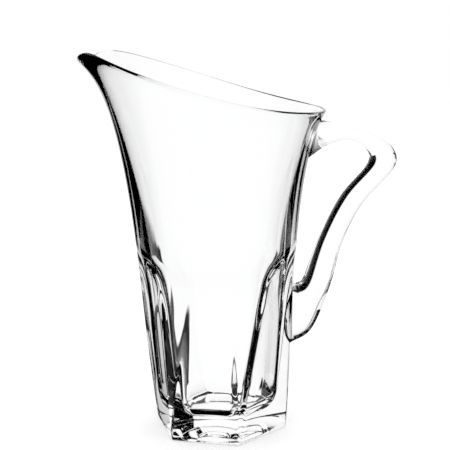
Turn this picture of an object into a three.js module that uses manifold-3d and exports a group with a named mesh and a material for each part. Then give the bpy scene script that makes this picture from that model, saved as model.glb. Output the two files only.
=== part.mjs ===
// A colourless crystal water pitcher: a mould-blown vessel on a thick six-sided foot and a solid
// glass handle laid on hot at two places. Millimetres, +Z up, origin on the vessel's axis at the
// plane it rests on, handle toward +X, pouring lip toward -X.
import * as THREE from 'three';
import Module from 'manifold-3d';

// Round body: radius grows evenly with height and opens like a trumpet at the mouth. The mouth is
// drawn out further above the handle, over a wide angle, and at the pouring lip, over a narrow one.
const FOOT_RADIUS = 47.7;
const BODY_TAPER = 0.039;
const TRUMPET_FLARE = 22.1;
const TRUMPET_LENGTH = 66;
const HANDLE_SIDE_FLARE = 7.3;
const HANDLE_SIDE_LENGTH = 22.7;
const HANDLE_SIDE_SHARPNESS = 2;
const LIP_FLARE = 8.8;
const LIP_LENGTH = 14.6;
const LIP_SHARPNESS = 20;

// Six flat panels pressed into the lower body, turning a little about the axis as they rise.
const PANEL_COUNT = 6;
const FOOT_WIDTH = 83.2;
const PANEL_TILT = 0.095;
const PANEL_TOP = 129;
const PANEL_RUNOUT = 21;
const PANEL_OVERRUN = 1;
const TWIST_ANGLE_AT_FOOT = -8;
const TWIST_ANGLE_TO_TOP = 14;
const FOOT_CHAMFER = 1.2;

// Mouth: the rim's height at the handle, at the sides and at the lip, where it dips over a narrow
// angle because the lip is pulled down.
const RIM_AT_HANDLE = 222.8;
const RIM_AT_SIDES = 240.1;
const RIM_AT_LIP = 269.3;
const LIP_DIP = 12.6;
const LIP_DIP_ANGLE = 15;

// Hollow inside: wall thickness behind the panels, where they end and at the mouth, and the heights
// between which it changes; thick bottom, rounded corner.
const WALL_AT_PANELS = 12.9;
const WALL_ABOVE_PANELS = 9.2;
const WALL_AT_RIM = 2.4;
const WALL_STEP_FROM = 85;
const WALL_STEP_TO = 130;
const WALL_THINS_FROM = 110;
const WALL_THINS_TO = 250;
const BOTTOM_THICKNESS = 15;
const CAVITY_CORNER = 15;
const CAVITY_PANEL_SHARE = 0.6;

// Handle roots: the seam to the vessel, how far below the rim and above the foot they sit, their
// size on the wall, and how deep the rod is carried into the wall before it is trimmed to it.
const ROOT_CLEARANCE = 0.3;
const ROOT_BURIED = 6;
const TOP_ROOT_BELOW_RIM = 18.2;
const TOP_ROOT_TALL = 26;
const TOP_ROOT_WIDE = 24;
const LOW_ROOT_HEIGHT = 81.8;
const LOW_ROOT_TALL = 42.6;
const LOW_ROOT_WIDE = 30;

// Handle between the roots. Each station gives its inner and its outer edge as a distance out from
// the wall and a drop below the top root, or a lift above the low root; then the width across.
const SHOULDER = { innerOut: 9.7, innerDrop: 4.7, outerOut: 7, outerDrop: -12, wide: 18 };
const CROWN = { innerOut: 23.5, innerDrop: 1, outerOut: 24.2, outerDrop: -9.2, wide: 15 };
const CORNER = { innerOut: 37.6, innerDrop: 7.5, outerOut: 47.4, outerDrop: 0, wide: 16 };
const BEND = { innerOut: 40, innerDrop: 17.9, outerOut: 59.7, outerDrop: 17.4, wide: 17 };
const GRIP = { innerOut: 26.3, innerDrop: 38.8, outerOut: 41.9, outerDrop: 44.8, wide: 16 };
const WAIST = { innerOut: 14.6, innerLift: 54.9, outerOut: 31.4, outerLift: 50.9, wide: 15.5 };
const HEEL = { innerOut: 6.3, innerLift: 26.6, outerOut: 25.6, outerLift: 21.1, wide: 18 };
const TOE = { innerOut: 2.2, innerLift: 22.6, outerOut: 14.5, outerLift: -10.3, wide: 25 };
const EDGE_TENSION = 0.5;

// Fineness of the surfaces: columns for each panel sector, rows, and points round the handle.
const SECTOR_FRACTIONS = [0, 0.07, 0.15, 0.26, 0.38, 0.5, 0.62, 0.74, 0.85, 0.93];
const OUTER_ROWS = 26;
const INNER_ROWS = 16;
const CORNER_ROWS = 5;
const RIM_ROWS = 3;
const HANDLE_ROWS = 36;
const HANDLE_SIDES = 20;

const sector = 2 * Math.PI / PANEL_COUNT;
const mix = (a, b, t) => a + (b - a) * t;
const clamp01 = (t) => Math.min(1, Math.max(0, t));

// Radius of the round body: straight taper, trumpet, and the two places where the mouth is drawn out.
const lipTip = RIM_AT_LIP - LIP_DIP;

function roundRadius(angle, height) {
  const toHandle = Math.max(0, Math.cos(angle)) ** HANDLE_SIDE_SHARPNESS;
  const toLip = Math.max(0, -Math.cos(angle)) ** LIP_SHARPNESS;
  const trumpet = TRUMPET_FLARE * Math.exp((height - lipTip) / TRUMPET_LENGTH);
  const lip = LIP_FLARE * toLip * Math.exp((height - lipTip) / LIP_LENGTH);
  const overHandle = HANDLE_SIDE_FLARE * toHandle
    * Math.exp((height - RIM_AT_HANDLE) / HANDLE_SIDE_LENGTH);
  return FOOT_RADIUS + BODY_TAPER * height + trumpet + lip + overHandle;
}

// Distance of a panel's plane from the axis; over the run-out it bends out to meet the round body.
const runoutStart = PANEL_TOP - PANEL_RUNOUT;
const flatAtTop = FOOT_WIDTH / 2 + PANEL_TILT * PANEL_TOP;
const runoutRise = roundRadius(Math.PI / 2, PANEL_TOP) + PANEL_OVERRUN - flatAtTop;

function panelDistance(height) {
  const over = Math.max(0, height - runoutStart) / PANEL_RUNOUT;
  return FOOT_WIDTH / 2 + PANEL_TILT * height + runoutRise * over * over;
}

function twistAt(height) {
  const turned = TWIST_ANGLE_AT_FOOT + TWIST_ANGLE_TO_TOP * clamp01(height / PANEL_TOP);
  return THREE.MathUtils.degToRad(turned);
}

// Outer radius: the round body, cut back by whichever panel faces this angle.
function outerRadius(angle, height) {
  const fromRidge = angle - twistAt(height);
  const middle = (Math.floor(fromRidge / sector) + 0.5) * sector;
  const flat = panelDistance(height) / Math.cos(fromRidge - middle);
  return Math.min(roundRadius(angle, height), flat);
}

// Wall thickness: one smooth step where the panels end, and a slow thinning from there to the mouth.
function wallAt(height) {
  const step = THREE.MathUtils.smoothstep(height, WALL_STEP_FROM, WALL_STEP_TO);
  const thinning = THREE.MathUtils.smoothstep(height, WALL_THINS_FROM, WALL_THINS_TO);
  return WALL_AT_PANELS - (WALL_AT_PANELS - WALL_ABOVE_PANELS) * step
    - (WALL_ABOVE_PANELS - WALL_AT_RIM) * thinning;
}

// Inner radius: a softened copy of the outside, one wall thickness in.
function innerRadius(angle, height) {
  const round = Math.min(panelDistance(height), roundRadius(angle, height));
  const followed = mix(round, outerRadius(angle, height), CAVITY_PANEL_SHARE);
  return followed - wallAt(height);
}

// Height of the rim at one angle: a smooth curve through its three heights, less the lip's dip.
function rimHeight(angle) {
  const toHandle = Math.cos(angle);
  const slant = (RIM_AT_LIP - RIM_AT_HANDLE) / 2;
  const hollow = (RIM_AT_LIP + RIM_AT_HANDLE) / 2 - RIM_AT_SIDES;
  const fromLip = Math.PI - Math.abs(Math.atan2(Math.sin(angle), Math.cos(angle)));
  const dip = LIP_DIP * Math.exp(-((fromLip / THREE.MathUtils.degToRad(LIP_DIP_ANGLE)) ** 2));
  return RIM_AT_SIDES - slant * toHandle + hollow * toHandle * toHandle - dip;
}

// A closed surface from rings of points, with one point closing each end.
function closedSurface(rings, firstPole, lastPole) {
  const count = rings[0].length;
  const points = [firstPole, ...rings.flat(), lastPole];
  const positions = new Float32Array(points.flatMap((p) => [p.x, p.y, p.z]));
  const at = (ring, i) => 1 + ring * count + (i % count);
  const last = points.length - 1;
  const faces = [];
  for (let i = 0; i < count; i += 1) {
    faces.push(0, at(0, i + 1), at(0, i));
    for (let ring = 0; ring + 1 < rings.length; ring += 1) {
      faces.push(at(ring, i), at(ring, i + 1), at(ring + 1, i + 1));
      faces.push(at(ring, i), at(ring + 1, i + 1), at(ring + 1, i));
    }
    faces.push(last, at(rings.length - 1, i), at(rings.length - 1, i + 1));
  }
  const geometry = new THREE.BufferGeometry();
  geometry.setAttribute('position', new THREE.BufferAttribute(positions, 3));
  geometry.setIndex(faces);
  geometry.computeVertexNormals();
  return geometry;
}

// Columns start on the ridges and turn with them, so the ridges stay crisp from foot to panel top.
const columns = [];
for (let panel = 0; panel < PANEL_COUNT; panel += 1) {
  for (const fraction of SECTOR_FRACTIONS) {
    columns.push((panel + fraction) * sector);
  }
}

const polar = (angle, radius, height) => new THREE.Vector3(
  radius * Math.cos(angle),
  radius * Math.sin(angle),
  height,
);

const topTurn = twistAt(PANEL_TOP);
const rims = columns.map((column) => rimHeight(column + topTurn));

const ringOf = (heightAt, radiusAt) => columns.map((column, i) => {
  const height = heightAt(i);
  const angle = column + twistAt(height);
  return polar(angle, radiusAt(angle, height), height);
});

// Rings of the outer wall from the foot's chamfer to the rim, moved out by a given distance.
function outerRings(outset) {
  const rings = [];
  for (let row = 0; row <= OUTER_ROWS; row += 1) {
    const heightAt = (i) => mix(FOOT_CHAMFER, rims[i], row / OUTER_ROWS);
    rings.push(ringOf(heightAt, (angle, height) => outerRadius(angle, height) + outset));
  }
  return rings;
}

// Half round over the rim, from the outer wall to the inner wall.
function rimRings() {
  const rings = [];
  for (let row = 1; row < RIM_ROWS; row += 1) {
    const turn = Math.PI * row / RIM_ROWS;
    rings.push(columns.map((column, i) => {
      const angle = column + topTurn;
      const half = wallAt(rims[i]) / 2;
      const radius = outerRadius(angle, rims[i]) - half * (1 - Math.cos(turn));
      return polar(angle, radius, rims[i] + half * Math.sin(turn));
    }));
  }
  return rings;
}

// Inner wall from the rim down to the cavity's rounded corner, then round it to the floor.
function cavityRings() {
  const cornerTop = BOTTOM_THICKNESS + CAVITY_CORNER;
  const rings = [];
  for (let row = INNER_ROWS; row >= 0; row -= 1) {
    rings.push(ringOf((i) => mix(cornerTop, rims[i], row / INNER_ROWS), innerRadius));
  }
  for (let row = 1; row <= CORNER_ROWS; row += 1) {
    const turn = Math.PI / 2 * row / CORNER_ROWS;
    const height = cornerTop - CAVITY_CORNER * Math.sin(turn);
    const inset = CAVITY_CORNER * (1 - Math.cos(turn));
    rings.push(ringOf(() => height, (angle) => innerRadius(angle, cornerTop) - inset));
  }
  return rings;
}

// Vessel: underside, chamfer, outer wall up to the rim, over the rim, down the inner wall, floor.
function vesselGeometry() {
  const undersideRing = ringOf(() => 0, (angle) => outerRadius(angle, 0) - FOOT_CHAMFER);
  const rings = [undersideRing, ...outerRings(0), ...rimRings(), ...cavityRings()];
  const underside = new THREE.Vector3(0, 0, 0);
  const floor = new THREE.Vector3(0, 0, BOTTOM_THICKNESS);
  return closedSurface(rings, underside, floor);
}

// The solid the handle is trimmed to: the vessel's outside, filled, and larger by the seam.
function trimmingGeometry() {
  const rings = outerRings(ROOT_CLEARANCE);
  const low = new THREE.Vector3(0, 0, FOOT_CHAMFER);
  const high = new THREE.Vector3(0, 0, RIM_AT_SIDES);
  return closedSurface(rings, low, high);
}

// Handle: an oval section between its inner and outer edge, carried from the top root to the low
// root, both ends running a little way into the wall.
function rodGeometry() {
  const topRootHeight = RIM_AT_HANDLE - TOP_ROOT_BELOW_RIM;
  const atWall = { innerOut: -ROOT_BURIED, outerOut: -ROOT_BURIED };
  const topRoot = {
    ...atWall,
    innerDrop: TOP_ROOT_TALL / 2,
    outerDrop: -TOP_ROOT_TALL / 2,
    wide: TOP_ROOT_WIDE,
  };
  const lowRoot = {
    ...atWall,
    innerLift: LOW_ROOT_TALL / 2,
    outerLift: -LOW_ROOT_TALL / 2,
    wide: LOW_ROOT_WIDE,
  };
  const upper = [topRoot, SHOULDER, CROWN, CORNER, BEND, GRIP];
  const lower = [WAIST, HEEL, TOE, lowRoot];
  const point = (out, height) => new THREE.Vector3(roundRadius(0, height) + out, 0, height);
  const curve = (points) => new THREE.CatmullRomCurve3(points, false, 'catmullrom', EDGE_TENSION);
  const innerEdge = curve([
    ...upper.map((s) => point(s.innerOut, topRootHeight - s.innerDrop)),
    ...lower.map((s) => point(s.innerOut, LOW_ROOT_HEIGHT + s.innerLift)),
  ]);
  const outerEdge = curve([
    ...upper.map((s) => point(s.outerOut, topRootHeight - s.outerDrop)),
    ...lower.map((s) => point(s.outerOut, LOW_ROOT_HEIGHT + s.outerLift)),
  ]);
  const width = curve([...upper, ...lower].map((s) => new THREE.Vector3(s.wide, 0, 0)));
  const rings = [];
  for (let row = 0; row <= HANDLE_ROWS; row += 1) {
    const along = row / HANDLE_ROWS;
    const inner = innerEdge.getPoint(along);
    const outer = outerEdge.getPoint(along);
    const wide = width.getPoint(along).x;
    const ring = [];
    for (let i = 0; i < HANDLE_SIDES; i += 1) {
      const turn = -2 * Math.PI * i / HANDLE_SIDES;
      const onSection = inner.clone().lerp(outer, 0.5 + 0.5 * Math.cos(turn));
      onSection.y = 0.5 * wide * Math.sin(turn);
      ring.push(onSection);
    }
    rings.push(ring);
  }
  const middle = (along) => innerEdge.getPoint(along).lerp(outerEdge.getPoint(along), 0.5);
  return closedSurface(rings, middle(0), middle(1));
}

// Joining and cutting work on closed solids made from a surface's points and faces.
const wasm = await Module();
wasm.setup();

function toSolid(geometry) {
  const vertProperties = geometry.getAttribute('position').array;
  const triVerts = new Uint32Array(geometry.getIndex().array);
  return new wasm.Manifold(new wasm.Mesh({ numProp: 3, vertProperties, triVerts }));
}

function toGeometry(solid) {
  const mesh = solid.getMesh();
  const geometry = new THREE.BufferGeometry();
  geometry.setAttribute('position', new THREE.BufferAttribute(mesh.vertProperties, 3));
  geometry.setIndex(new THREE.BufferAttribute(mesh.triVerts, 1));
  geometry.computeVertexNormals();
  return geometry;
}

function handleGeometry() {
  return toGeometry(toSolid(rodGeometry()).subtract(toSolid(trimmingGeometry())));
}

const glass = () => new THREE.MeshStandardMaterial({
  color: 0xe9f1f0,
  roughness: 0.03,
  metalness: 0,
});

const pitcher = new THREE.Group();
pitcher.name = 'pitcher';
const vessel = new THREE.Mesh(vesselGeometry(), glass());
vessel.name = 'vessel';
const handle = new THREE.Mesh(handleGeometry(), glass());
handle.name = 'handle';
pitcher.add(vessel, handle);

export default pitcher;
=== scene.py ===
# %% [markdown]
# A clear glass water pitcher.
# This lesson dresses a imported solid model of a table jug. The real jug is two pieces of colourless
# glass: a vessel drawn from one gather, and a solid handle laid on while both were hot. The packed
# model gives the true sizes and stays in charge of them, so it is loaded first.

# %% Load the imported model
import bpy
import numpy as np
from mathutils import Matrix


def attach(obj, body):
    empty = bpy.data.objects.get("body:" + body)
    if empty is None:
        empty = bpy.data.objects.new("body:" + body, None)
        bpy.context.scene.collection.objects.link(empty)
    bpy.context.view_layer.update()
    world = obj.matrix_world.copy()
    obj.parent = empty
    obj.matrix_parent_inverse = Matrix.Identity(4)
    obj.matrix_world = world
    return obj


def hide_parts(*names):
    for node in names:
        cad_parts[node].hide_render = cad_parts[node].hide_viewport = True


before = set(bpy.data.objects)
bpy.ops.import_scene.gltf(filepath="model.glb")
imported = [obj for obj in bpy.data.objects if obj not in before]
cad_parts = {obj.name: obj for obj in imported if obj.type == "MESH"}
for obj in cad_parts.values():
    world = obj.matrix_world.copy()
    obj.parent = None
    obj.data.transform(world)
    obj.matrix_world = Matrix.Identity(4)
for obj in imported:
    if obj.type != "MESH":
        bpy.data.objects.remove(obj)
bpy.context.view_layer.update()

MM = 0.001


# %% [markdown]
# The round body.
# Above its panels the vessel is round and opens like a trumpet. A lathe profile with the Screw
# modifier would make it, but the mouth isn't round: it is drawn out over the handle and pulled to a
# narrow pouring lip. So the radius is written as a function of angle and height, in millimetres,
# and every other surface of the vessel is worked out from it.

# %% Radius of the round body
FOOT_RADIUS = 47.7
BODY_TAPER = 0.039
TRUMPET_FLARE, TRUMPET_LENGTH = 22.1, 66.0
HANDLE_SIDE_FLARE, HANDLE_SIDE_LENGTH, HANDLE_SIDE_SHARPNESS = 7.3, 22.7, 2
LIP_FLARE, LIP_LENGTH, LIP_SHARPNESS = 8.8, 14.6, 20
RIM_AT_HANDLE, RIM_AT_SIDES, RIM_AT_LIP = 222.8, 240.1, 269.3
LIP_DIP, LIP_DIP_ANGLE = 12.6, 15.0
lip_tip = RIM_AT_LIP - LIP_DIP


def lip_reach(angle, height):
    """How far the pouring lip is drawn out: an exponential of the height, weighted by a high power of
    the cosine of the angle from the lip."""
    to_lip = np.maximum(0, -np.cos(angle)) ** LIP_SHARPNESS
    return LIP_FLARE * to_lip * np.exp((height - lip_tip) / LIP_LENGTH)


def round_radius(angle, height):
    """Foot radius plus taper times height, plus an exponential of the height all round, one weighted
    by the cosine squared of the angle from the handle, and the pouring lip."""
    to_handle = np.maximum(0, np.cos(angle)) ** HANDLE_SIDE_SHARPNESS
    trumpet = TRUMPET_FLARE * np.exp((height - lip_tip) / TRUMPET_LENGTH)
    over_handle = HANDLE_SIDE_FLARE * to_handle * np.exp((height - RIM_AT_HANDLE) / HANDLE_SIDE_LENGTH)
    return FOOT_RADIUS + BODY_TAPER * height + trumpet + over_handle + lip_reach(angle, height)


def rim_height(angle):
    """A parabola in the cosine of the angle through the rim's heights at the handle, the sides and
    the lip, less a bell curve where the lip is pulled down."""
    toward = np.cos(angle)
    slant = (RIM_AT_LIP - RIM_AT_HANDLE) / 2
    hollow = (RIM_AT_LIP + RIM_AT_HANDLE) / 2 - RIM_AT_SIDES
    from_lip = np.pi - np.abs(np.arctan2(np.sin(angle), np.cos(angle)))
    dip = LIP_DIP * np.exp(-((from_lip / np.radians(LIP_DIP_ANGLE)) ** 2))
    return RIM_AT_SIDES - slant * toward + hollow * toward ** 2 - dip


for name, angle in (("handle", 0.0), ("sides", np.pi / 2), ("lip", np.pi)):
    top = float(rim_height(angle))
    print(f"mouth at the {name}: height {top:.1f} mm, radius {float(round_radius(angle, top)):.1f} mm")

# %% [markdown]
# The panels.
# Six flat panels are pressed into the lower body. They lean outward, turn a little about the axis as
# they rise, and bend out at their tops until they meet the round wall. Cutting them with booleans
# would leave razor edges, and fire-polished glass has none. Here a panel is a distance from the axis,
# and a soft minimum of the round body and the panels rounds every edge by the same small amount.

# %% Panels and the rounded outside
PANEL_COUNT = 6
FOOT_WIDTH = 83.2
PANEL_TILT = 0.095
PANEL_TOP, PANEL_RUNOUT, PANEL_OVERRUN = 129.0, 21.0, 1.0
TWIST_AT_FOOT, TWIST_TO_TOP = -8.0, 14.0
EDGE_POWER = 160
SECTOR = 2 * np.pi / PANEL_COUNT


def panel_distance(height):
    """Half the foot's width plus tilt times height, plus a parabola over the run-out at the top."""
    flat_at_top = FOOT_WIDTH / 2 + PANEL_TILT * PANEL_TOP
    rise = round_radius(np.pi / 2, PANEL_TOP) + PANEL_OVERRUN - flat_at_top
    over = np.maximum(0, height - PANEL_TOP + PANEL_RUNOUT) / PANEL_RUNOUT
    return FOOT_WIDTH / 2 + PANEL_TILT * height + rise * over ** 2


def twist(height):
    """The panels' turn about the axis: it grows evenly from the foot to the panel tops."""
    return np.radians(TWIST_AT_FOOT + TWIST_TO_TOP * np.clip(height / PANEL_TOP, 0, 1))


def soft_least(radii):
    """Power mean with a high negative power: close to the least value, rounded where two are near."""
    return np.sum([r ** -EDGE_POWER for r in radii], axis=0) ** (-1 / EDGE_POWER)


def outer_radius(angle, height):
    """Soft minimum of the round body and the three nearest panels, each a plane's distance over the
    cosine of the angle from the panel's middle."""
    from_ridge = np.mod(angle - twist(height), SECTOR)
    flat = panel_distance(height)
    panels = [flat / np.cos(from_ridge - SECTOR * (0.5 + step)) for step in (-1, 0, 1)]
    return soft_least([round_radius(angle, height)] + panels)


print(f"foot: {FOOT_WIDTH} mm across the panels, "
      f"{2 * float(outer_radius(twist(0.0), 0.0)):.1f} mm across the rounded ridges")

# %% [markdown]
# The hollow.
# The inside follows the outside softly. The wall is thickest behind the panels, steps in where they
# end and thins from there to the rim, whose last millimetres are drawn thin. The floor is a slab of
# glass with a rounded corner, and the end of the pouring lip is a solid drop. Solidify would give one
# thickness everywhere, so the inner radius gets its own formula. The thick parts are what bend the
# light into dark bands.

# %% Wall and inner radius
WALL_AT_PANELS, WALL_ABOVE_PANELS, WALL_AT_RIM = 12.9, 9.2, 2.4
STEP_FROM, STEP_TO = 85.0, 130.0
WALL_THINS_FROM, WALL_THINS_TO = 110.0, 250.0
BOTTOM_THICKNESS, CAVITY_CORNER = 15.0, 15.0
CAVITY_PANEL_SHARE = 0.6
LIP_SOLID_SHARE = 0.3
INNER_RIM_RAISED, EDGE_THINNED, EDGE_LENGTH = 0.8, 1.1, 5.0
MEASURED_AT = (40.0, 120.0, 200.0)


def ease(value, start, end):
    """Smooth step: nought before the start, one after the end, level at both."""
    t = np.clip((value - start) / (end - start), 0, 1)
    return t * t * (3 - 2 * t)


def wall(height):
    """Thickest behind the panels, less where they end, and thinning from there to the rim."""
    step = (WALL_AT_PANELS - WALL_ABOVE_PANELS) * ease(height, STEP_FROM, STEP_TO)
    thinning = (WALL_ABOVE_PANELS - WALL_AT_RIM) * ease(height, WALL_THINS_FROM, WALL_THINS_TO)
    return WALL_AT_PANELS - step - thinning


def inner_radius(angle, height):
    """A share of the way from the round hollow that just clears the panels to a copy of the outside,
    less the wall and less part of the pouring lip, whose end is a solid drop, plus an exponential of
    the depth below the rim, where the edge is drawn thin."""
    hollow = soft_least([panel_distance(height), round_radius(angle, height)])
    followed = hollow + CAVITY_PANEL_SHARE * (outer_radius(angle, height) - hollow)
    below_rim = np.maximum(0, rim_height(angle) + INNER_RIM_RAISED - height)
    thinned = EDGE_THINNED * np.exp(-below_rim / EDGE_LENGTH)
    return followed - wall(height) - LIP_SOLID_SHARE * lip_reach(angle, height) + thinned


for height in MEASURED_AT:
    thick = float(outer_radius(np.pi / 2, height) - inner_radius(np.pi / 2, height))
    print(f"wall at height {height:.0f} mm: {thick:.1f} mm")

# %% [markdown]
# One closed surface.
# The vessel is a single skin of glass: underside, foot, outer wall, rim, inner wall and floor. Grid
# columns run up it and grid rows run round it. The columns crowd together where a panel meets the
# round wall, because that edge is only a millimetre or two across and many of the dark lines in the
# glass start there. Above the panels they spread out evenly again.

# %% Columns that follow the panel edges
PANEL_COLUMNS, SPANDREL_COLUMNS = 14, 12
EDGE_LEAST, EDGE_MOST, EDGE_ABOVE = np.radians((2.5, 27.5, 13.0))
SPREAD_OUT_BY = 165.0
CROWDING = 1.5

panel_share = 1 - (1 - np.arange(PANEL_COLUMNS) / PANEL_COLUMNS) ** CROWDING
spandrel_share = (np.arange(SPANDREL_COLUMNS) / SPANDREL_COLUMNS) ** CROWDING
half_panel = np.concatenate([panel_share, np.ones(SPANDREL_COLUMNS + 1)])
half_spandrel = np.concatenate([np.zeros(PANEL_COLUMNS), spandrel_share, [1.0]])
ones = np.ones(len(half_panel))


def round_the_jug(rising, falling):
    """Values from a panel's middle to the ridge, then others turned round, from the ridge to the next
    panel's middle, without the two columns that both halves share; repeated for every panel."""
    return np.tile(np.concatenate([rising, falling[-2:0:-1]]), PANEL_COUNT)


to_panel = round_the_jug(half_panel, half_panel)
to_spandrel = round_the_jug(half_spandrel, half_spandrel)
turn_sign = round_the_jug(ones, -ones)
panel_index = np.repeat(np.arange(PANEL_COUNT), len(to_panel) // PANEL_COUNT)
turn_whole = (panel_index + round_the_jug(0 * ones, ones) + 0.5) * SECTOR
columns = len(turn_whole)


def column_angles(height):
    """Angle of every column at the given heights: from a panel's middle to its edge, then from the
    edge to the ridge, plus the panels' twist. Above the panels the edge glides to a resting place."""
    ratio = np.clip(panel_distance(height) / round_radius(np.pi / 2, height), 0, 1)
    edge = np.clip(np.arccos(ratio), EDGE_LEAST, EDGE_MOST)
    edge = edge + (EDGE_ABOVE - edge) * ease(height, PANEL_TOP, SPREAD_OUT_BY)
    from_middle = edge * to_panel + (SECTOR / 2 - edge) * to_spandrel
    return turn_whole + turn_sign * from_middle + twist(height)


top_angles = column_angles(np.full(columns, SPREAD_OUT_BY))
print(columns, "columns,", PANEL_COLUMNS, "of them across each half panel")

# %% [markdown]
# Rows of the outside.
# Each part of the skin gives a block of rows, as angles, radii and heights. The underside can't be
# seen. A round dish is guessed there, because it draws bright and dark traces like those that show
# through the foot's panels. The foot's edge is a small quarter circle.
# Up to the height where the columns have spread out the rows are level. Above it they divide the rest
# of the way to the slanted rim, whose outer edge is lower than its inner edge on both sides of the jug.

# %% Underside, foot and outer wall
FOOT_ROUND = 1.4
DISH_RADIUS, DISH_DEPTH = 37.0, 7.0
DISH_ROWS, STAND_ROWS, FOOT_ROWS, PANEL_ROWS, UPPER_ROWS = 16, 4, 7, 104, 46
ROW_CROWDING, CROWDED_AT = 0.09, 0.72
RIM_SLOPE = 2.0
rim_slope = RIM_SLOPE * np.sin(top_angles) ** 2
rims = rim_height(top_angles) + INNER_RIM_RAISED - rim_slope


def level_rows(heights):
    """Rows of one height each: the heights, repeated over the columns, and their column angles."""
    z = np.repeat(np.asarray(heights, float)[:, None], columns, axis=1)
    return column_angles(z), z


def underside_block():
    """A round dish whose depth falls with the square of the radius, then level rings that pass from the
    dish's edge to the foot's outline."""
    angle, z = level_rows(np.zeros(DISH_ROWS + STAND_ROWS))
    dish = np.linspace(0, 1, DISH_ROWS + 1)[1:, None]
    stand = np.linspace(0, 1, STAND_ROWS + 1)[1:, None]
    outline = outer_radius(angle[0], z[0]) - FOOT_ROUND
    radius = np.concatenate([np.repeat(DISH_RADIUS * dish, columns, axis=1),
                             DISH_RADIUS + (outline - DISH_RADIUS) * stand])
    z[:DISH_ROWS] = DISH_DEPTH * (1 - dish ** 2)
    return angle, radius, z


def foot_block():
    """A quarter circle from the underside to the wall."""
    turn = np.linspace(0, np.pi / 2, FOOT_ROWS + 1)[1:]
    angle, z = level_rows(FOOT_ROUND * (1 - np.cos(turn)))
    return angle, outer_radius(angle, z) - FOOT_ROUND * (1 - np.sin(turn))[:, None], z


def outside_block():
    """Level rows up the panels, which a sine wave draws together over the run-out, then even shares of
    the way to the rim."""
    t = np.linspace(0, 1, PANEL_ROWS + 1)[1:]
    wave = np.sin(2 * np.pi * (t - CROWDED_AT)) + np.sin(2 * np.pi * CROWDED_AT)
    low_angle, low_z = level_rows(FOOT_ROUND + (SPREAD_OUT_BY - FOOT_ROUND) * (t - ROW_CROWDING * wave))
    share = np.linspace(0, 1, UPPER_ROWS + 1)[1:, None]
    high_z = SPREAD_OUT_BY + (rims - SPREAD_OUT_BY) * share
    angle = np.concatenate([low_angle, np.repeat(top_angles[None], UPPER_ROWS, axis=0)])
    z = np.concatenate([low_z, high_z])
    return angle, outer_radius(angle, z), z


print(f"outer edge of the rim: {rims.min():.1f} to {rims.max():.1f} mm high")

# %% [markdown]
# Rows of the rim and the inside.
# The fire that polishes a mouth leaves it rounded. Here its edge also slopes a little on both sides,
# lower outside than inside. The slope isn't seen but fitted to the look: it turns the light on the far
# side of the mouth away from the eye, so the far rim is drawn dark and the near rim stays fainter. A
# torus or a bevel would make both alike. Inside, the rows run down the wall, round the corner and in to
# the middle of the floor.

# %% Rim, inner wall and floor
RIM_CROWN = 0.8
RIM_ROWS, INNER_UPPER_ROWS, INNER_ROWS, CORNER_ROWS, FLOOR_ROWS = 11, 36, 66, 14, 8
inner_rims = rims + rim_slope
corner_top = BOTTOM_THICKNESS + CAVITY_CORNER


def rim_block():
    """From the outer wall to the inner wall the share is half of one minus the cosine of the turn; the
    height climbs with it, and the sine of the turn adds a crown."""
    turn = np.linspace(0, np.pi, RIM_ROWS + 2)[1:-1, None]
    angle = np.repeat(top_angles[None], RIM_ROWS, axis=0)
    outer, inner = outer_radius(top_angles, rims), inner_radius(top_angles, inner_rims)
    share = (1 - np.cos(turn)) / 2
    return angle, outer + (inner - outer) * share, rims + rim_slope * share + RIM_CROWN * np.sin(turn)


def inner_wall_block():
    """Even shares of the way down from the rim to the height where the columns have spread out, then
    level rows down to the corner."""
    share = np.linspace(1, 0, INNER_UPPER_ROWS + 1)[:-1, None]
    high_z = SPREAD_OUT_BY + (inner_rims - SPREAD_OUT_BY) * share
    high_angle = np.repeat(top_angles[None], INNER_UPPER_ROWS, axis=0)
    low_angle, low_z = level_rows(np.linspace(SPREAD_OUT_BY, corner_top, INNER_ROWS + 1))
    angle, z = np.concatenate([high_angle, low_angle]), np.concatenate([high_z, low_z])
    return angle, inner_radius(angle, z), z


def corner_block():
    """A quarter circle from the inner wall to the floor."""
    turn = np.linspace(0, np.pi / 2, CORNER_ROWS + 1)[1:]
    angle, z = level_rows(corner_top - CAVITY_CORNER * np.sin(turn))
    wall_radius = inner_radius(angle, np.full_like(z, corner_top))
    return angle, wall_radius - CAVITY_CORNER * (1 - np.cos(turn))[:, None], z


def floor_block(corner):
    """Level rings that shrink evenly from the corner's last row toward the middle."""
    share = np.linspace(1, 0, FLOOR_ROWS + 1)[1:-1, None]
    angle = np.repeat(corner[0][-1:], FLOOR_ROWS - 1, axis=0)
    radius = corner[1][-1] * share
    return angle, radius, np.full_like(radius, BOTTOM_THICKNESS)


corner = corner_block()
blocks = [underside_block(), foot_block(), outside_block(), rim_block(), inner_wall_block(), corner,
          floor_block(corner)]
angle, radius, height = (np.concatenate([block[i] for block in blocks]) for i in range(3))
print("vessel grid:", height.shape[0], "rows by", height.shape[1], "columns")

# %% [markdown]
# From grid to mesh.
# Blender wants a list of points and a list of faces. The grid's faces are index arithmetic on whole
# arrays: each face joins a column to the next, and the last column wraps round to the first. One extra
# point closes each end, so the skin has no hole and every face looks outward.

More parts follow.
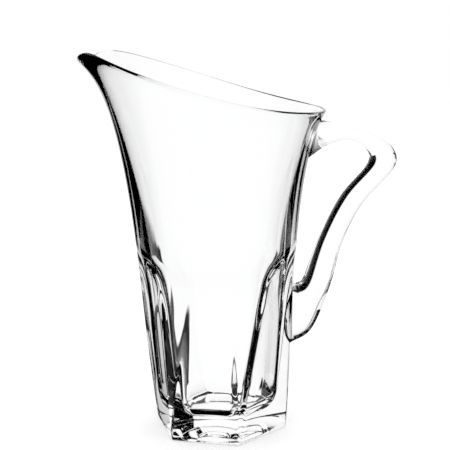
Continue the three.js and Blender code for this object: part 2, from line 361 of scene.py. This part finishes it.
# %% Closed grid to mesh object
def grid_faces(rows, count):
    """Quads between neighbouring rows and columns, the columns wrapping round, and a fan of triangles
    from the first and the last point to the row next to it: all corners in one list, and the faces'
    sizes."""
    index = 1 + np.arange(rows * count).reshape(rows, count)
    following = np.roll(index, -1, axis=1)
    quads = np.stack([index[:-1], following[:-1], following[1:], index[1:]], axis=-1).reshape(-1, 4)
    first, last = np.zeros(count, int), np.full(count, rows * count + 1)
    low_fan = np.stack([first, following[0], index[0]], axis=-1)
    high_fan = np.stack([last, index[-1], following[-1]], axis=-1)
    corners = np.concatenate([low_fan.ravel(), quads.ravel(), high_fan.ravel()])
    sizes = np.concatenate([np.full(count, 3), np.full(len(quads), 4), np.full(count, 3)])
    return corners, sizes


def closed_grid(name, points, first_pole, last_pole):
    """A smooth mesh object from a grid of points in millimetres and the point that closes each end."""
    corners, sizes = grid_faces(*points.shape[:2])
    coordinates = np.concatenate([[first_pole], points.reshape(-1, 3), [last_pole]]) * MM
    mesh = bpy.data.meshes.new(name)
    mesh.vertices.add(len(coordinates))
    mesh.vertices.foreach_set("co", coordinates.ravel())
    mesh.loops.add(len(corners))
    mesh.loops.foreach_set("vertex_index", corners.astype(np.int32))
    mesh.polygons.add(len(sizes))
    starts = np.concatenate([[0], np.cumsum(sizes)[:-1]])
    mesh.polygons.foreach_set("loop_start", starts.astype(np.int32))
    mesh.update(calc_edges=True)
    mesh.validate()
    mesh.shade_smooth()
    piece = bpy.data.objects.new(name, mesh)
    bpy.context.scene.collection.objects.link(piece)
    print(name, "mesh:", len(mesh.vertices), "points,", len(mesh.polygons), "faces")
    return piece


vessel_points = np.stack([radius * np.cos(angle), radius * np.sin(angle), height], axis=-1)
vessel = closed_grid("clear_vessel", vessel_points, (0, 0, DISH_DEPTH), (0, 0, BOTTOM_THICKNESS))
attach(vessel, "root")
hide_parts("vessel")

# %% [markdown]
# The handle's two edges.
# The handle is a rod of hot glass: it is pressed onto the wall under the rim, pulled out and round,
# and its other end is pressed on lower down, where it spreads. A bevelled curve keeps one thickness,
# and this rod swells and thins. So its inner and its outer edge are two smooth curves through a few
# stations, and an oval section is carried between them.

# %% Stations and smooth curves
ROOT_SUNK = 0.35
TOP_ROOT_BELOW_RIM, TOP_ROOT_TALL, TOP_ROOT_WIDE = 18.2, 26.0, 24.0
LOW_ROOT_HEIGHT, LOW_ROOT_TALL, LOW_ROOT_WIDE = 81.8, 42.6, 30.0
top_root = RIM_AT_HANDLE - TOP_ROOT_BELOW_RIM
# Each row: inner edge out from the wall, its height, outer edge out from the wall, its height, width.
stations = np.array([
    (-ROOT_SUNK, top_root - TOP_ROOT_TALL / 2, -ROOT_SUNK, top_root + TOP_ROOT_TALL / 2, TOP_ROOT_WIDE),
    (9.7, top_root - 4.7, 7.0, top_root + 12.0, 18.0),
    (23.5, top_root - 1.0, 24.2, top_root + 9.2, 15.0),
    (37.6, top_root - 7.5, 47.4, top_root, 16.0),
    (40.0, top_root - 17.9, 59.7, top_root - 17.4, 17.0),
    (26.3, top_root - 38.8, 41.9, top_root - 44.8, 16.0),
    (14.6, LOW_ROOT_HEIGHT + 54.9, 31.4, LOW_ROOT_HEIGHT + 50.9, 15.5),
    (6.3, LOW_ROOT_HEIGHT + 26.6, 25.6, LOW_ROOT_HEIGHT + 21.1, 18.0),
    (2.2, LOW_ROOT_HEIGHT + 22.6, 14.5, LOW_ROOT_HEIGHT - 10.3, 25.0),
    (-ROOT_SUNK, LOW_ROOT_HEIGHT + LOW_ROOT_TALL / 2, -ROOT_SUNK, LOW_ROOT_HEIGHT - LOW_ROOT_TALL / 2,
     LOW_ROOT_WIDE),
])


def smooth_curve(values, along):
    """Smooth spline: between two stations a cubic whose slope at each is half the difference of its
    neighbours. The ends are carried on in a straight line."""
    values = np.concatenate([[2 * values[0] - values[1]], values, [2 * values[-1] - values[-2]]])
    place = along * (len(values) - 3)
    start = np.clip(place.astype(int), 0, len(values) - 4)
    t = place - start
    a, b, c, d = (values[start + k] for k in range(4))
    return b + 0.5 * t * (c - a + t * (2 * a - 5 * b + 4 * c - d + t * (3 * (b - c) + d - a)))


HANDLE_ROWS, HANDLE_SIDES, CAP_ROWS = 200, 72, 8
GRIP_ROWS = slice(60, 140)
along = np.linspace(0, 1, HANDLE_ROWS + 1)
inner_x = smooth_curve(round_radius(0.0, stations[:, 1]) + stations[:, 0], along)
inner_z = smooth_curve(stations[:, 1], along)
outer_x = smooth_curve(round_radius(0.0, stations[:, 3]) + stations[:, 2], along)
outer_z = smooth_curve(stations[:, 3], along)
wide = smooth_curve(stations[:, 4], along)
grip = np.hypot(outer_x - inner_x, outer_z - inner_z)[GRIP_ROWS]
print(f"handle: {grip.min():.1f} to {grip.max():.1f} mm thick in the grip")

# %% [markdown]
# Roots that lie on the wall.
# Where the hot rod met the vessel the two became one, so no air may show between them. Near each root
# the section is pushed back so that it bends round the wall, and it ends a third of a millimetre under
# the vessel's skin. Light then crosses from one piece to the other nearly without being turned.

# %% Sections of the handle
WALL_STEPS = 6
ROOT_REACH_IN_STATIONS = 1.3
CAP_DEPTH = 0.5
root_reach = ROOT_REACH_IN_STATIONS / (len(stations) - 1)


def wall_x(y, z):
    """How far out the vessel's skin lies at a given side offset and height: its radius and angle are
    found together in a few steps."""
    x = round_radius(0.0, z)
    for _ in range(WALL_STEPS):
        x = np.sqrt(outer_radius(np.arctan2(y, x), z) ** 2 - y ** 2)
    return x


def handle_points():
    """An oval between the two edges: the cosine of the turn goes from inner to outer edge, the sine
    goes across. Near the roots the wall's own bend is added, fading out with distance."""
    turn = -2 * np.pi * np.arange(HANDLE_SIDES) / HANDLE_SIDES
    share = 0.5 + 0.5 * np.cos(turn)
    x = inner_x[:, None] + (outer_x - inner_x)[:, None] * share
    z = inner_z[:, None] + (outer_z - inner_z)[:, None] * share
    y = 0.5 * wide[:, None] * np.sin(turn)
    near = ease(np.minimum(along, 1 - along), root_reach, 0.0)[:, None]
    return np.stack([x + near * (wall_x(y, z) - round_radius(0.0, z)), y, z], axis=-1)


def cap_points(ring):
    """Rings that shrink toward the root's middle and lie a little under the vessel's skin."""
    centre = ring.mean(axis=0)
    share = np.linspace(1, 0, CAP_ROWS + 1)[1:-1, None]
    y = centre[1] + share * (ring[:, 1] - centre[1])
    z = centre[2] + share * (ring[:, 2] - centre[2])
    return np.stack([wall_x(y, z) - ROOT_SUNK - CAP_DEPTH * (1 - share ** 2), y, z], axis=-1)


rod = handle_points()
top_cap, low_cap = cap_points(rod[0])[::-1], cap_points(rod[-1])
poles = [cap[end].mean(axis=0) for cap, end in ((top_cap, 0), (low_cap, -1))]
handle = closed_grid("clear_handle", np.concatenate([top_cap, rod, low_cap]), *poles)
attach(handle, "root")
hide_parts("handle")

# %% [markdown]
# Clear glass.
# Colourless glass has no colour of its own to paint: it shows what is behind it, bent. Part of what the
# eye reads as glass is its slight unevenness, from the mould, the fire that polished it and washing. A
# shared node group works these out from Object coordinates: long soft waves for the bump, a faint
# clouding that varies the roughness near the foot, and a hardly visible change of tint.

# %% Node helpers and the group's sockets
NODE_SPACING = 220


def node(tree, kind, **values):
    """Adds one node to the right of the others, sets its properties, and returns it."""
    made = tree.nodes.new(kind)
    made.location = (NODE_SPACING * len(tree.nodes), 0)
    for key, value in values.items():
        setattr(made, key, value)
    return made


def math_node(tree, operation, first, second=None):
    """One Math node with sockets or numbers for its inputs; returns the output socket."""
    made = node(tree, "ShaderNodeMath", operation=operation)
    for slot, value in enumerate((first, second)):
        if isinstance(value, bpy.types.NodeSocket):
            tree.links.new(value, made.inputs[slot])
        elif value is not None:
            made.inputs[slot].default_value = value
    return made.outputs[0]


def range_node(tree, value, low, high, out_low, out_high):
    """Maps a value from one range to another with smooth ends; returns the output socket."""
    made = node(tree, "ShaderNodeMapRange", interpolation_type="SMOOTHSTEP")
    tree.links.new(value, made.inputs["Value"])
    limits = {"From Min": low, "From Max": high, "To Min": out_low, "To Max": out_high}
    for key, number in limits.items():
        made.inputs[key].default_value = number
    return made.outputs["Result"]


uneven = bpy.data.node_groups.new("fire_polished_unevenness", "ShaderNodeTree")
for label, kind in (("Vector", "NodeSocketVector"), ("Wave Scale", "NodeSocketFloat"),
                    ("Clouding", "NodeSocketFloat")):
    uneven.interface.new_socket(label, in_out="INPUT", socket_type=kind)
for label, kind in (("Height", "NodeSocketFloat"), ("Roughness", "NodeSocketFloat"),
                    ("Tint", "NodeSocketColor")):
    uneven.interface.new_socket(label, in_out="OUTPUT", socket_type=kind)
print("sockets:", [socket.name for socket in uneven.interface.items_tree])

# %% Waves, clouding and tint
WAVE_DETAIL = 1.0
CLOUD_SCALE, CLOUD_DETAIL = 90.0, 3.0
CLOUD_START, CLOUD_FULL = 0.45, 0.75
SCUFFED_UP_TO = 0.004
NO_TINT, FAINT_TINT = (1.0, 1.0, 1.0, 1.0), (0.992, 0.996, 0.996, 1.0)

given = node(uneven, "NodeGroupInput")
result = node(uneven, "NodeGroupOutput")
waves = node(uneven, "ShaderNodeTexNoise")
waves.inputs["Detail"].default_value = WAVE_DETAIL
uneven.links.new(given.outputs["Vector"], waves.inputs["Vector"])
uneven.links.new(given.outputs["Wave Scale"], waves.inputs["Scale"])
uneven.links.new(waves.outputs["Fac"], result.inputs["Height"])
cloud = node(uneven, "ShaderNodeTexNoise")
cloud.inputs["Scale"].default_value = CLOUD_SCALE
cloud.inputs["Detail"].default_value = CLOUD_DETAIL
uneven.links.new(given.outputs["Vector"], cloud.inputs["Vector"])
split = node(uneven, "ShaderNodeSeparateXYZ")
uneven.links.new(given.outputs["Vector"], split.inputs[0])
near_foot = range_node(uneven, split.outputs["Z"], 0.0, SCUFFED_UP_TO, 1.0, 0.0)
patches = range_node(uneven, cloud.outputs["Fac"], CLOUD_START, CLOUD_FULL, 0.0, 1.0)
scuffed = math_node(uneven, "MULTIPLY", near_foot, patches)
clouded = math_node(uneven, "MULTIPLY", scuffed, given.outputs["Clouding"])
uneven.links.new(clouded, result.inputs["Roughness"])
tint = node(uneven, "ShaderNodeMix", data_type="RGBA")
tint.inputs["A"].default_value = NO_TINT
tint.inputs["B"].default_value = FAINT_TINT
uneven.links.new(cloud.outputs["Fac"], tint.inputs["Factor"])
uneven.links.new(tint.outputs["Result"], result.inputs["Tint"])
print("unevenness group:", len(uneven.nodes), "nodes")

# %% [markdown]
# The two glasses.
# Both pieces are the same clear glass, and each gets its own waves: the vessel was shaped in a mould,
# and the handle was drawn by hand, so its waves are shorter. A black Specular Tint leaves out the faint
# mirror image that a clean surface gives face on. Real glass has it, and the picture hardly shows it.
# The full reflection inside the glass stays, and it draws nearly all the dark lines.

# %% Clear glass materials
GLASS_IOR = 1.52
WAVE_DEPTH = 0.00003
VESSEL_WAVES, HANDLE_WAVES = 40.0, 60.0
VESSEL_CLOUDING, HANDLE_CLOUDING = 0.08, 0.0
BLACK = (0.0, 0.0, 0.0, 1.0)


def clear_glass(name, wave_scale, clouding):
    """A transmitting Principled shader whose tint and bump come from the shared group, and its roughness
    too where the glass is clouded."""
    material = bpy.data.materials.new(name)
    material.use_nodes = True
    tree = material.node_tree
    shader = tree.nodes["Principled BSDF"]
    shader.inputs["Transmission Weight"].default_value = 1.0
    shader.inputs["Metallic"].default_value = 0.0
    shader.inputs["Roughness"].default_value = 0.0
    shader.inputs["IOR"].default_value = GLASS_IOR
    shader.inputs["Specular Tint"].default_value = BLACK
    where = node(tree, "ShaderNodeTexCoord")
    group = node(tree, "ShaderNodeGroup", node_tree=uneven)
    group.inputs["Wave Scale"].default_value = wave_scale
    group.inputs["Clouding"].default_value = clouding
    tree.links.new(where.outputs["Object"], group.inputs["Vector"])
    tree.links.new(group.outputs["Tint"], shader.inputs["Base Color"])
    if clouding:
        tree.links.new(group.outputs["Roughness"], shader.inputs["Roughness"])
    bump = node(tree, "ShaderNodeBump")
    bump.inputs["Strength"].default_value = 1.0
    bump.inputs["Distance"].default_value = WAVE_DEPTH
    tree.links.new(group.outputs["Height"], bump.inputs["Height"])
    tree.links.new(bump.outputs["Normal"], shader.inputs["Normal"])
    print("material:", name)
    return material


vessel.data.materials.append(clear_glass("pressed_clear_glass", VESSEL_WAVES, VESSEL_CLOUDING))
handle.data.materials.append(clear_glass("drawn_clear_glass", HANDLE_WAVES, HANDLE_CLOUDING))

# %% [markdown]
# The studio.
# Glass is photographed against a bright field: white behind it and in front of it, and dark cards
# beside it, out of the picture. Edges that bend the light far enough look at a card and turn black,
# and that is all the outline a clear jug has. A group tells how bright a room with one card is in a
# given compass direction, and the world and the table read it, each with cards of its own.

# %% Dark card between two compass directions
CARD_SOFTNESS = 2.0
HALF_TURN = 180.0

card = bpy.data.node_groups.new("dark_card", "ShaderNodeTree")
for label, kind in (("Direction", "NodeSocketVector"), ("Middle", "NodeSocketFloat"),
                    ("Reach", "NodeSocketFloat")):
    card.interface.new_socket(label, in_out="INPUT", socket_type=kind)
card.interface.new_socket("Brightness", in_out="OUTPUT", socket_type="NodeSocketFloat")
given = node(card, "NodeGroupInput")
result = node(card, "NodeGroupOutput")
split = node(card, "ShaderNodeSeparateXYZ")
card.links.new(given.outputs["Direction"], split.inputs[0])
compass = math_node(card, "ARCTAN2", split.outputs["X"], split.outputs["Y"])
away = math_node(card, "SUBTRACT", math_node(card, "DEGREES", compass), given.outputs["Middle"])
turned = node(card, "ShaderNodeMath", operation="WRAP")
card.links.new(away, turned.inputs[0])
turned.inputs[1].default_value = HALF_TURN
turned.inputs[2].default_value = -HALF_TURN
apart = math_node(card, "ABSOLUTE", turned.outputs[0])
beyond = math_node(card, "SUBTRACT", apart, given.outputs["Reach"])
lit = range_node(card, beyond, -CARD_SOFTNESS, CARD_SOFTNESS, 0.0, 1.0)
card.links.new(lit, result.inputs["Brightness"])
print("card group:", len(card.nodes), "nodes")


def between_cards(tree, direction, cards):
    """Brightness of a white room with dark cards: each card is a pair of compass edges, in degrees
    clockwise from +Y."""
    level = 1.0
    for edges in cards:
        made = node(tree, "ShaderNodeGroup", node_tree=card)
        tree.links.new(direction, made.inputs["Direction"])
        made.inputs["Middle"].default_value = sum(edges) / 2
        made.inputs["Reach"].default_value = (edges[1] - edges[0]) / 2
        level = math_node(tree, "MULTIPLY", made.outputs["Brightness"], level)
    return level


def went_straight(tree, path):
    """One for light that was never mirrored inside the glass, nought for light that was. The depth is a
    whole number, so a half tells nought from one."""
    return math_node(tree, "LESS_THAN", path.outputs["Glossy Depth"], 0.5)


# %% [markdown]
# The white world.
# The camera and the matte table see plain white. The glass sees the cards: one stands on the right for
# all light, and two more count only for light that was mirrored inside the glass at least once. Light
# that goes straight through misses those, so the walls stay clear from every side and only the edges
# are drawn. Light Path's Glossy Depth tells the two kinds of light apart.

# %% World
SKY_CARD = ((45.0, 92.0),)
SKY_CARDS_WHEN_MIRRORED = ((-180.0, -70.0), (92.0, 180.0))

world = bpy.data.worlds.new("white_studio")
bpy.context.scene.world = world
world.use_nodes = True
tree = world.node_tree
background = tree.nodes["Background"]
toward = node(tree, "ShaderNodeTexCoord").outputs["Generated"]
path = node(tree, "ShaderNodeLightPath")
straight = went_straight(tree, path)
all_light = between_cards(tree, toward, SKY_CARD)
mirrored = between_cards(tree, toward, SKY_CARDS_WHEN_MIRRORED)
level = math_node(tree, "MULTIPLY", all_light, math_node(tree, "MAXIMUM", mirrored, straight))
plain = math_node(tree, "MAXIMUM", path.outputs["Is Camera Ray"], path.outputs["Is Diffuse Ray"])
tree.links.new(math_node(tree, "MAXIMUM", level, plain), background.inputs["Color"])
print("world:", len(tree.nodes), "nodes")

# %% [markdown]
# The table that the glass sees.
# The jug stands on a wide pale board, and most of what its lower half shows is that board. Two cards
# lie on it, right and left. Light that goes straight through meets the left one only near the jug and
# at a flat slant, while mirrored light sees all of it. Where mirrored light comes down steeply the board
# is painted dark, a painted shadow of the jug. Layer Weight's Facing gives the slant. Under the foot
# there is no card, so the bottom is clear when it is seen from above.

# %% Table board
TABLE_HALF, TABLE_GAP = 3.0, 0.0003

table_mesh = bpy.data.meshes.new("pale_table")
corners = np.array([(-1, -1, 0), (1, -1, 0), (1, 1, 0), (-1, 1, 0)]) * TABLE_HALF - (0, 0, TABLE_GAP)
table_mesh.from_pydata(corners.tolist(), [], [(0, 1, 2, 3)])
table = bpy.data.objects.new("pale_table", table_mesh)
bpy.context.scene.collection.objects.link(table)
print("table:", 2 * TABLE_HALF, "m square")

# %% Cards on the table
TABLE_CARD = ((26.0, 92.0),)
TABLE_CARD_AT_SLANT = ((-105.0, -33.0),)
CARD_START, CARD_END = (0.05, 0.06), (0.42, 0.5)
SLANT_LOW, SLANT_HIGH = (14.0, 12.0), (25.0, 23.0)
STEEP_ANGLES = (54.0, 42.0)

material = bpy.data.materials.new("pale_board")
material.use_nodes = True
tree = material.node_tree
tree.nodes.clear()
output = node(tree, "ShaderNodeOutputMaterial")
spot = node(tree, "ShaderNodeTexCoord").outputs["Object"]
path = node(tree, "ShaderNodeLightPath")
slant = node(tree, "ShaderNodeLayerWeight")
distance = node(tree, "ShaderNodeVectorMath", operation="LENGTH")
tree.links.new(spot, distance.inputs[0])


def by_slant(angles, at_first, at_second):
    """Fades from one value to another between two angles of the incoming ray above the table: Facing is
    one minus the sine of that angle."""
    facing = 1 - np.sin(np.radians(angles))
    return range_node(tree, slant.outputs["Facing"], *facing, at_first, at_second)


straight = went_straight(tree, path)
far = range_node(tree, distance.outputs["Value"], *CARD_END, 0.0, 1.0)
off_slant = math_node(tree, "MAXIMUM", by_slant(SLANT_LOW, 0.0, 1.0), by_slant(SLANT_HIGH, 1.0, 0.0))
missed = math_node(tree, "MULTIPLY", straight, math_node(tree, "MAXIMUM", far, off_slant))
side = math_node(tree, "MAXIMUM", between_cards(tree, spot, TABLE_CARD_AT_SLANT), missed)
# Painted shadow of the jug: the board's glow is painted dark for mirrored light that comes down steeply.
painted_jug_shadow = math_node(tree, "MAXIMUM", by_slant(STEEP_ANGLES, 0.0, 1.0), straight)
level = math_node(tree, "MULTIPLY", side, painted_jug_shadow)
level = math_node(tree, "MULTIPLY", between_cards(tree, spot, TABLE_CARD), level)
under_foot = range_node(tree, distance.outputs["Value"], *CARD_START, 1.0, 0.0)
level = math_node(tree, "MAXIMUM", level, math_node(tree, "MULTIPLY", straight, under_foot))
seen_in_glass = node(tree, "ShaderNodeEmission")
tree.links.new(level, seen_in_glass.inputs["Color"])
print("cards on the table, in degrees:", TABLE_CARD + TABLE_CARD_AT_SLANT)

# %% [markdown]
# The table that the camera sees.
# For the camera the board is matte, so it keeps the jug's soft shadow, and it glows a little, which
# lifts the rest of it to the white of the background. Light Path's Is Camera Ray chooses between this
# board and the one with the cards.

# %% Matte board
BOARD_COLOUR, BOARD_GLOW = 0.8, 0.4

matte = node(tree, "ShaderNodeBsdfDiffuse")
matte.inputs["Color"].default_value = (BOARD_COLOUR, BOARD_COLOUR, BOARD_COLOUR, 1.0)
glow = node(tree, "ShaderNodeEmission")
glow.inputs["Strength"].default_value = BOARD_GLOW
board = node(tree, "ShaderNodeAddShader")
tree.links.new(matte.outputs[0], board.inputs[0])
tree.links.new(glow.outputs[0], board.inputs[1])
either = node(tree, "ShaderNodeMixShader")
tree.links.new(path.outputs["Is Camera Ray"], either.inputs[0])
tree.links.new(seen_in_glass.outputs[0], either.inputs[1])
tree.links.new(board.outputs[0], either.inputs[2])
tree.links.new(either.outputs[0], output.inputs[0])
table_mesh.materials.append(material)
print("board material:", len(tree.nodes), "nodes")

# %% [markdown]
# The camera.
# The photograph looks slightly down, from a little to the handle's side of square on. The place, the
# tilt and the focal length were found by fitting the foot's corners and the rim, and the small roll
# and shift put the jug where the picture has it.

# %% Camera
CAMERA_DISTANCE, CAMERA_HEIGHT = 0.7052, 0.2789
CAMERA_COMPASS, CAMERA_PITCH, CAMERA_ROLL = np.radians((8.0, 10.739, -1.478))
FRAME_PIXELS, FOCAL_PIXELS, SHIFT_PIXELS, SENSOR = 450, 1025.3, 9.2, 36.0

across = np.array([np.cos(CAMERA_COMPASS), np.sin(CAMERA_COMPASS), 0])
ahead = np.array([-np.sin(CAMERA_COMPASS), np.cos(CAMERA_COMPASS), 0])
upright = np.array([0, 0, 1.0])
forward = ahead * np.cos(CAMERA_PITCH) - upright * np.sin(CAMERA_PITCH)
above = ahead * np.sin(CAMERA_PITCH) + upright * np.cos(CAMERA_PITCH)
right = across * np.cos(CAMERA_ROLL) + above * np.sin(CAMERA_ROLL)
up = above * np.cos(CAMERA_ROLL) - across * np.sin(CAMERA_ROLL)
place = -ahead * CAMERA_DISTANCE + upright * CAMERA_HEIGHT
lens = bpy.data.cameras.new("studio_camera")
lens.sensor_width = SENSOR
lens.lens = FOCAL_PIXELS / FRAME_PIXELS * SENSOR
lens.shift_x = SHIFT_PIXELS / FRAME_PIXELS
camera = bpy.data.objects.new("studio_camera", lens)
bpy.context.scene.collection.objects.link(camera)
turn = np.eye(4)
turn[:3, :4] = np.stack([right, up, -forward, place], axis=1)
camera.matrix_world = Matrix(turn.tolist())
bpy.context.scene.camera = camera
print(f"camera: {lens.lens:.1f} mm lens at {np.round(place, 3).tolist()}")

# %% [markdown]
# Light that is caught in the wall.
# Some light enters at an edge and is mirrored to and fro inside the wall before it comes out. The
# picture shows such places as smooth black lines, but light that is followed to its end makes them grey
# and grainy. So the limit on glossy bounces drops what was mirrored more than six times. That is a
# shortcut of the renderer and no property of clear glass, and it darkens the inner wall when the jug is
# seen from straight above. Light may still cross many surfaces.

# %% Light limits for clear glass
SURFACES_CROSSED, TIMES_MIRRORED = 32, 6

scene = bpy.context.scene
scene.view_settings.view_transform = "Standard"
scene.cycles.max_bounces = SURFACES_CROSSED
scene.cycles.transmission_bounces = SURFACES_CROSSED
scene.cycles.glossy_bounces = TIMES_MIRRORED
print("light may cross", SURFACES_CROSSED, "surfaces and be mirrored", TIMES_MIRRORED, "times")
